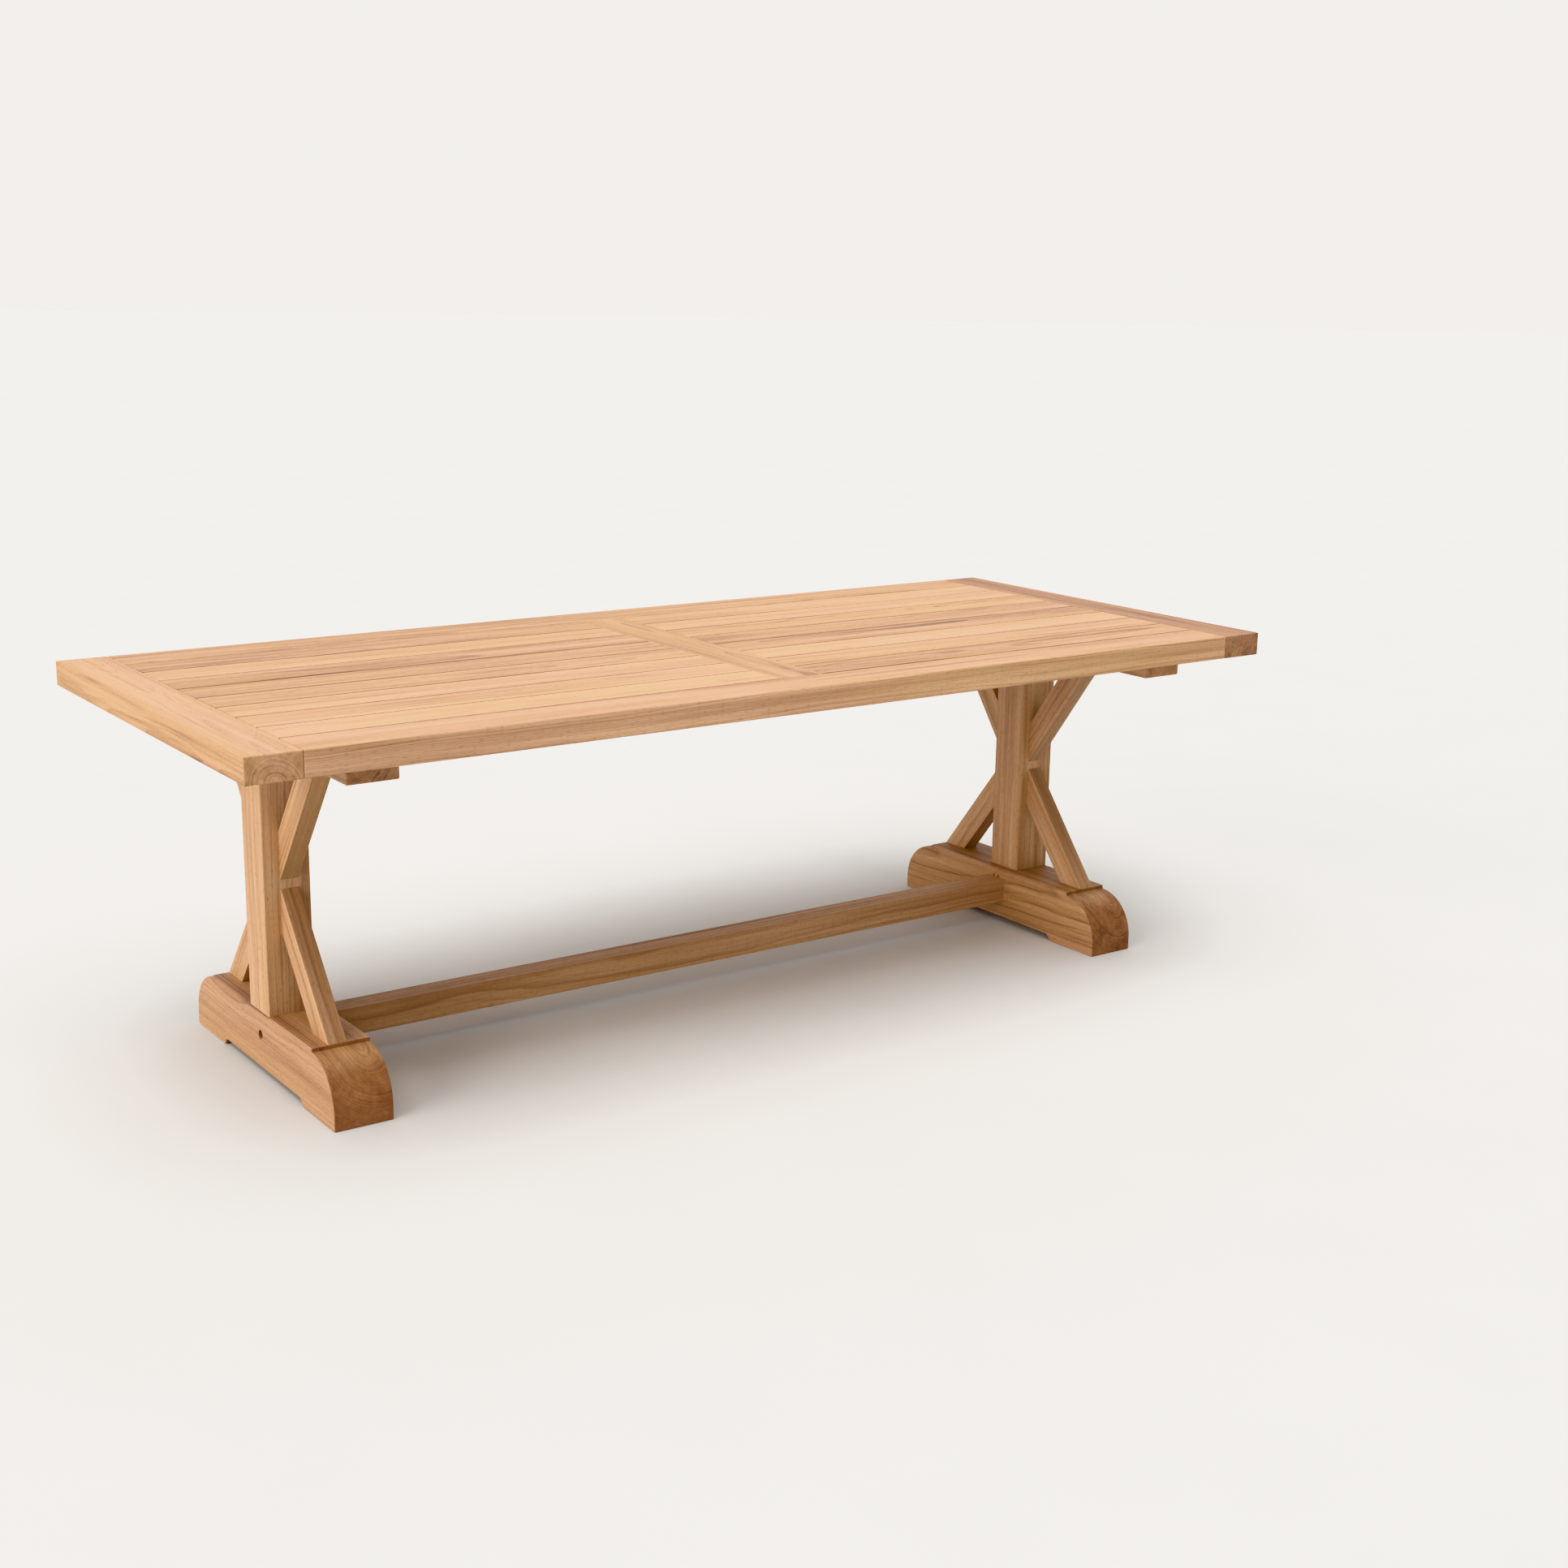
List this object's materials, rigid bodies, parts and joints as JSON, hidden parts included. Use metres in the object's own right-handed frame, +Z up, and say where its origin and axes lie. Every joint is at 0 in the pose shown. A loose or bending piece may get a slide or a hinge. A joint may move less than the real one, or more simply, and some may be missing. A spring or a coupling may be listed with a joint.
{
  "type": "trestle dining table",
  "caption": "Long solid-teak garden dining table: slatted top with a framed edge and a cross board, on two K-braced trestles with sled feet and a low stretcher.",
  "frame": {"origin": "on the floor under the centre of the table's bounding box", "axes": "+X along the table's length, +Y across it towards the back, +Z up"},
  "size_m": [2.4, 1, 0.76],
  "materials": {
    "teak_frame": "sanded, unfinished",
    "teak_slats": "sanded, unfinished",
    "teak_trestle": "sanded, unfinished",
    "teak_pegs": "sanded end grain",
    "stainless_steel": "satin",
    "brass": "turned"
  },
  "bodies": {
    "root": {"barrel_nuts": "brass", "batten_left_inner": "teak_frame", "batten_left_outer": "teak_frame", "batten_right_inner": "teak_frame", "batten_right_outer": "teak_frame", "bearer_bolts": "stainless_steel", "bearer_left": "teak_trestle", "bearer_right": "teak_trestle", "bearer_tenon_pegs": "teak_pegs", "bearer_washers": "stainless_steel", "brace_left_lower_back": "teak_trestle", "brace_left_lower_front": "teak_trestle", "brace_left_upper_back": "teak_trestle", "brace_left_upper_front": "teak_trestle", "brace_right_lower_back": "teak_trestle", "brace_right_lower_front": "teak_trestle", "brace_right_upper_back": "teak_trestle", "brace_right_upper_front": "teak_trestle", "cross_board": "teak_frame", "cross_board_pegs": "teak_pegs", "end_board_left": "teak_frame", "end_board_right": "teak_frame", "foot_left": "teak_trestle", "foot_right": "teak_trestle", "foot_tenon_pegs": "teak_pegs", "post_left": "teak_trestle", "post_right": "teak_trestle", "rail_tenon_pegs": "teak_pegs", "side_rail_back": "teak_frame", "side_rail_front": "teak_frame", "slat_left_1": "teak_slats", "slat_left_2": "teak_slats", "slat_left_3": "teak_slats", "slat_left_4": "teak_slats", "slat_left_5": "teak_slats", "slat_left_6": "teak_slats", "slat_left_7": "teak_slats", "slat_left_8": "teak_slats", "slat_right_1": "teak_slats", "slat_right_2": "teak_slats", "slat_right_3": "teak_slats", "slat_right_4": "teak_slats", "slat_right_5": "teak_slats", "slat_right_6": "teak_slats", "slat_right_7": "teak_slats", "slat_right_8": "teak_slats", "slat_screws": "stainless_steel", "stretcher": "teak_trestle", "stretcher_bolts": "stainless_steel", "stretcher_washers": "stainless_steel", "threaded_inserts": "brass"}
  },
  "joints": []
}
